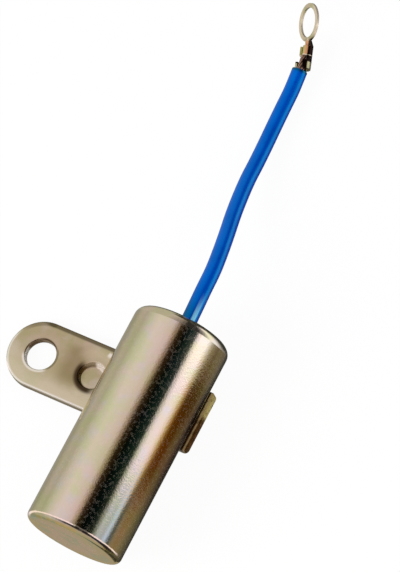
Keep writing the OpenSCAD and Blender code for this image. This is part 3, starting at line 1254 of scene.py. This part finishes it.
@dataclass
class Condenser:
    """The whole part: the finishes of the CAD nodes and the pieces that stand for some."""

    lead: Lead = field(default_factory=Lead)

    def finishes(self) -> dict[str, Union[ZincPassivate, Metal, Moulded, TerminalWithPaintedShade]]:
        """The finish of each CAD node that keeps its shape.

        Returns:
            The finishes by the names of their nodes.
        """
        return {
            "can": CanFinish("can_zinc_passivate", Grain.ALONG_CAN),
            "bracket": StripFinish("strip_zinc_passivate", Grain.ALONG_STRIP),
            "winding": Moulded(
                "winding_paper", (0.78, 0.70, 0.52), (0.62, 0.53, 0.36), gloss=0.60, size=0.00080
            ),
            "insulating_sleeve": Moulded(
                "sleeve_board", (0.45, 0.31, 0.16), (0.33, 0.21, 0.10), gloss=0.80, size=0.00050
            ),
            "earth_spring": Metal("spring_steel", (0.62, 0.61, 0.60), (0.40, 0.38, 0.35), 0.25),
            "live_contact": Metal("contact_brass", (0.80, 0.60, 0.27), (0.55, 0.36, 0.13), 0.26),
            "eyelet": Metal("eyelet_brass", (0.82, 0.63, 0.30), (0.60, 0.40, 0.16), 0.22),
            "insulating_washer": Moulded(
                "washer_laminate", (0.16, 0.07, 0.03), (0.26, 0.13, 0.06), gloss=0.40, size=0.00040
            ),
            "rubber_seal": Moulded(
                "seal_rubber",
                (0.018, 0.018, 0.017),
                (0.045, 0.043, 0.040),
                gloss=0.62,
                size=0.00035,
            ),
            "solder_joint": Metal("solder", (0.70, 0.70, 0.69), (0.48, 0.48, 0.47), 0.30),
            "ring_terminal": TerminalWithPaintedShade(self.lead.frame),
        }

    def dress(self, nodes: dict[str, bpy.types.Object]) -> None:
        """Gives each CAD node its finish.

        Args:
            nodes: The CAD nodes' objects by name.
        """
        for name, finish in self.finishes().items():
            material = finish.make()
            worn = nodes[name].data.materials
            worn.clear()
            worn.append(material)
            LOG.info("%s: %s", name, material.name)

    def add_lead(self) -> None:
        """Lays the smooth lead and its strands in place of the plain ones.
        """
        before, cut = self.lead.centreline()[-2:]
        finish = LeadCover(self.lead.start, cut, (cut - before).normalized())
        cover = self.lead.build_cover(finish.make())
        copper = Metal("strand_copper", (0.52, 0.32, 0.25), (0.30, 0.19, 0.17), 0.30)
        strands = self.lead.build_strands(copper.make())
        for piece, node, slot in (
            (cover, "lead_insulation", "lead_cover"),
            (strands, "lead_conductor", "strand_copper"),
        ):
            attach(piece, "root")
            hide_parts(node)
            LOG.info("%s: %d faces", piece.name, len(piece.data.polygons))
        [tuple(p) for p in self.lead.centreline()]


# ---------------------------------------------------------------------------------------------
# The studio
# ---------------------------------------------------------------------------------------------


class Stretch(Enum):
    """A stretch of the reflections' light along the can's axis."""

    CLOSED_END = "closed end"
    MIDDLE = "middle"
    LEAD_END = "lead end"
    BEYOND = "beyond the lead end"


@dataclass(frozen=True)
class Band:
    """One stop of the light round the can's axis, in degrees."""

    angle: float
    middle: Colour
    closed: Colour | None = None
    lead: Colour | None = None

    def colour(self, stretch: Stretch) -> Colour:
        """Its colour at a place along the can.

        Args:
            stretch: The place.

        Returns:
            The colour, which is the middle's where the place has none of its own.
        """
        own = {Stretch.CLOSED_END: self.closed, Stretch.LEAD_END: self.lead}
        return own.get(stretch) or self.middle


@dataclass
class Studio:
    """Pale floor, white surround, soft lamps, the reflections' tent and the camera."""

    centre: Vector = field(default_factory=lambda: Vector((CAN_X, -9.0, CAN_Z)) * MM)
    floor_level: float = -0.82 * MM
    #: Half the floor's side, and the paper's two tones.
    floor_half: float = 3.0
    floor_tones: tuple[Colour, Colour] = ((0.88, 0.88, 0.88), (0.92, 0.92, 0.92))
    #: The share of plain white in what the camera sees of the floor.
    floor_glow: float = 0.94
    #: How strongly the surround lights the part, where the camera sees it at 1.
    surround_light: float = 0.62
    tent_radius: float = 0.22
    #: Tones that lie on the bands: the one that the closed end's flat face shows, the darks on
    #: the can's side over the tail and at the outline beside it, the light, the dark and the glow
    #: along the closed end's rounded edge, and the dark far past the lead end and low behind.
    end_face: Colour = (0.40, 0.35, 0.27)
    over_tail: Colour = (0.06, 0.028, 0.002)
    beside_tail: Colour = (0.004, 0.002, 0.001)
    edge_light: Colour = (1.15, 1.02, 1.10)
    edge_dark: Colour = (0.03, 0.025, 0.03)
    edge_glow: Colour = (0.50, 0.43, 0.36)
    far_dark: Colour = (0.045, 0.05, 0.04)
    #: The camera's lens in mm, its place, and the directions to its right and backwards.
    lens: float = 207.46
    camera_place: Triple = (0.220944, -0.132025, 0.531010)
    camera_right: Triple = (0.86923, 0.45399, -0.19578)
    camera_back: Triple = (0.34115, -0.26414, 0.90214)
    #: The light round the can's axis, in degrees from straight up towards +X.
    surround: tuple[Band, ...] = (
        Band(-180, (0.05, 0.05, 0.04)),
        Band(-168, (0.10, 0.10, 0.08)),
        Band(-160, (0.39, 0.39, 0.34)),
        Band(-140, (0.36, 0.35, 0.31)),
        Band(-119, (0.36, 0.36, 0.29)),
        Band(-99, (0.50, 0.50, 0.42)),
        Band(-80, (0.48, 0.49, 0.41)),
        Band(-60, (0.66, 0.67, 0.63)),
        Band(-40, (0.79, 0.77, 0.77)),
        Band(-20, (0.77, 0.72, 0.76)),
        Band(-4, (0.70, 0.62, 0.63)),
        Band(5, (0.34, 0.26, 0.20), closed=(0.42, 0.34, 0.26)),
        Band(12, (0.035, 0.020, 0.008)),
        Band(25, (0.002, 0.0035, 0.003)),
        Band(38, (0.005, 0.014, 0.014), closed=(0.002, 0.006, 0.005), lead=(0.015, 0.03, 0.03)),
        Band(48.5, (0.02, 0.035, 0.03), closed=(0.02, 0.03, 0.02), lead=(0.07, 0.08, 0.08)),
        Band(55, (0.62, 0.62, 0.66), closed=(0.24, 0.28, 0.25), lead=(0.93, 0.91, 0.96)),
        Band(62, (1.00, 0.97, 1.10), closed=(0.50, 0.59, 0.67), lead=(1.35, 1.32, 1.42)),
        Band(74, (1.04, 1.00, 1.12), closed=(0.43, 0.51, 0.62), lead=(1.38, 1.38, 1.52)),
        Band(82, (0.95, 0.84, 0.80), closed=(0.58, 0.76, 1.12), lead=(1.28, 1.32, 1.40)),
        Band(86.5, (0.74, 0.60, 0.46), closed=(0.40, 0.50, 0.66), lead=(1.02, 1.02, 1.00)),
        Band(91, (0.48, 0.32, 0.12), closed=(0.09, 0.12, 0.13), lead=(0.76, 0.74, 0.66)),
        Band(95.5, (0.24, 0.12, 0.03), closed=(0.10, 0.12, 0.11), lead=(0.50, 0.47, 0.37)),
        Band(102, (0.12, 0.038, 0.001), closed=(0.27, 0.22, 0.14), lead=(0.30, 0.26, 0.16)),
        Band(115, (0.10, 0.032, 0.001), closed=(0.28, 0.19, 0.09), lead=(0.17, 0.13, 0.07)),
        Band(127, (0.14, 0.085, 0.035), closed=(0.25, 0.20, 0.10), lead=(0.19, 0.17, 0.09)),
        Band(139, (0.13, 0.085, 0.050), closed=(0.18, 0.16, 0.08), lead=(0.18, 0.16, 0.10)),
        Band(151, (0.075, 0.052, 0.04), closed=(0.12, 0.11, 0.06), lead=(0.15, 0.14, 0.10)),
        Band(164, (0.035, 0.024, 0.02), closed=(0.08, 0.08, 0.06), lead=(0.08, 0.08, 0.07)),
        Band(180, (0.03, 0.025, 0.02)),
    )

    #: The same light past the lead end, where it comes from further round to the right.
    past_lead_end: tuple[Band, ...] = (
        Band(-180, (0.05, 0.05, 0.04)),
        Band(-150, (0.36, 0.36, 0.33)),
        Band(-100, (0.55, 0.54, 0.46)),
        Band(-55, (0.54, 0.54, 0.48)),
        Band(-30, (0.60, 0.56, 0.53)),
        Band(-5, (0.42, 0.37, 0.33)),
        Band(20, (0.03, 0.03, 0.03)),
        Band(50, (0.04, 0.04, 0.04)),
        Band(68, (0.38, 0.38, 0.38)),
        Band(86, (1.15, 1.15, 1.15)),
        Band(104, (1.10, 1.10, 1.10)),
        Band(130, (0.35, 0.35, 0.33)),
        Band(160, (0.10, 0.10, 0.09)),
        Band(180, (0.05, 0.05, 0.04)),
    )

    def build(self) -> None:
        """Builds everything round the part."""
        self._floor()
        self._tent()
        self._world()
        self._lamps()
        self._camera()
        bpy.context.scene.view_settings.view_transform = "Standard"

    def _floor(self) -> None:
        """A wide pale floor that the camera sees as nearly white, with a faint shadow."""
        bm = bmesh.new()
        bmesh.ops.create_grid(bm, x_segments=4, y_segments=4, size=self.floor_half)
        bmesh.ops.translate(bm, vec=(0.0, 0.0, self.floor_level), verts=bm.verts)
        shader = Shader.material("floor_paper")
        colour = shader.mix(shader.noise(0.15), *self.floor_tones)
        paper = shader.node("ShaderNodeBsdfDiffuse", {}, {"Color": colour})
        glow = shader.node("ShaderNodeEmission", {}, {"Color": WHITE, "Strength": 1.0})
        seen = shader.node("ShaderNodeLightPath", output="Is Camera Ray")
        share = seen * self.floor_glow
        shader.finish(shader.node("ShaderNodeMixShader", {}, {0: share, 1: paper, 2: glow}))
        floor = mesh_object("studio_floor", bm, shader.owner)
        floor.visible_glossy = False

    def _bands(self, shader: Shader, turn: Socket, stretch: Stretch) -> Socket:
        """The light round the axis at one place along it.

        Args:
            shader: The shell's shader.
            turn: The angle round the axis, as 0 to 1.
            stretch: The place.

        Returns:
            The colour.
        """
        used = self.past_lead_end if stretch is Stretch.BEYOND else self.surround
        stops = [(band.angle / 360 + 0.5, band.colour(stretch)) for band in used]
        return shader.node("ShaderNodeValToRGB", {"stops": stops}, {"Fac": turn})

    def _reflections(self, shader: Shader) -> Socket:
        """The long light and dark bands that the metal shows, laid out round the can's axis.

        Args:
            shader: The shell's shader.

        Returns:
            Their colour.
        """
        place = shader.place(shift=tuple(-self.centre))
        x = shader.node("ShaderNodeSeparateXYZ", {}, {0: place})
        angle = x.arctan2(x.beside("Z"))
        turn = angle / TURN + 0.5
        degrees = angle * (360 / TURN)
        far = x.beside("Y") / self.tent_radius
        off_top = degrees.absolute()
        near_side = off_top.step(150, 125)
        at_tail = far.band(0.23, 0.25, 0.275, 0.295)
        end_face = degrees.step(-146, -152) * far.band(-0.34, -0.28, -0.12, -0.06)
        stripe = degrees.band(8, 16, 40, 48)
        edge_light = near_side * far.band(-0.36, -0.29, -0.13, -0.06) * (1.0 - 0.85 * stripe)
        edge_dark = near_side * far.band(-0.84, -0.74, -0.46, -0.38) * degrees.step(-80, 0)
        far_dark = far.step(0.93, 0.98) + (1.0 - near_side) * far.step(0.42, 0.58)

        return shader.lay(
            self._bands(shader, turn, Stretch.MIDDLE),
            (far.step(0.19, 0.11), self._bands(shader, turn, Stretch.CLOSED_END)),
            (far.step(0.26, 0.31), self._bands(shader, turn, Stretch.LEAD_END)),
            (far.step(0.38, 0.43), self._bands(shader, turn, Stretch.BEYOND)),
            (end_face, self.end_face),
            (0.85 * degrees.band(95, 102, 130, 142) * at_tail, self.over_tail),
            (0.90 * off_top.step(160, 168) * at_tail, self.beside_tail),
            (edge_light, self.edge_light),
            (edge_dark, self.edge_dark),
            (far.step(-0.76, -0.86), self.edge_glow),
            (far_dark.clamped(), self.far_dark),
        )

    def _tent(self) -> None:
        """A shell round the part that only reflections see."""
        bm = bmesh.new()
        bmesh.ops.create_uvsphere(bm, u_segments=64, v_segments=32, radius=self.tent_radius)
        bmesh.ops.translate(bm, vec=self.centre, verts=bm.verts)
        shader = Shader.material("reflection_tent")
        light = self._reflections(shader)
        shader.finish(shader.node("ShaderNodeEmission", {}, {"Color": light, "Strength": 1.0}))
        shader.owner.cycles.emission_sampling = "NONE"
        tent = mesh_object("reflection_tent", bm, shader.owner)
        tent.visible_camera = False
        tent.visible_diffuse = False
        tent.visible_shadow = False
        tent.visible_transmission = False
        tent.visible_volume_scatter = False

    def _world(self) -> None:
        """White to the camera and in reflections, a soft even light on the part."""
        world = bpy.data.worlds.new("studio_surround")
        bpy.context.scene.world = world
        shader = Shader(world, "ShaderNodeOutputWorld")
        seen = shader.node("ShaderNodeLightPath", output="Is Camera Ray")
        white = seen + seen.beside("Is Glossy Ray") + seen.beside("Is Transmission Ray")
        strength = self.surround_light + (1.0 - self.surround_light) * white.clamped()
        shader.finish(
            shader.node("ShaderNodeBackground", {}, {"Color": WHITE, "Strength": strength})
        )

    def _lamps(self) -> None:
        """Two big soft lamps: the key over the left, the fill over the right."""
        for name, place, size, power in (
            ("key_softbox", (-0.42, -0.50, 0.55), 0.50, 5.0),
            ("fill_softbox", (0.60, 0.10, 0.60), 0.60, 1.6),
        ):
            data = bpy.data.lights.new(name, "AREA")
            data.shape = "SQUARE"
            data.size = size
            data.energy = power
            lamp = add_object(name, data)
            lamp.location = self.centre + Vector(place)
            lamp.rotation_mode = "QUATERNION"
            lamp.rotation_quaternion = (-Vector(place)).to_track_quat("-Z", "Y")
            lamp.visible_glossy = False

    def _camera(self) -> None:
        """A long lens high over the part, off towards its closed end and its tail."""
        data = bpy.data.cameras.new("studio_camera")
        data.sensor_width = 36.0
        data.lens = self.lens
        data.clip_start = 0.01
        data.clip_end = 20.0
        back = Vector(self.camera_back).normalized()
        up = back.cross(Vector(self.camera_right).normalized()).normalized()
        turned = Matrix((up.cross(back), up, back)).transposed().to_4x4()
        camera = add_object("studio_camera", data)
        camera.matrix_world = Matrix.Translation(self.camera_place) @ turned
        bpy.context.scene.camera = camera


def main() -> None:
    """Loads the frame, builds the studio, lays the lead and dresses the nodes."""
    logging.basicConfig(level=logging.INFO, format="%(message)s")
    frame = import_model()
    Studio().build()
    part = Condenser()
    part.add_lead()
    part.dress(frame["nodes"])


if __name__ == "__main__":
    main()
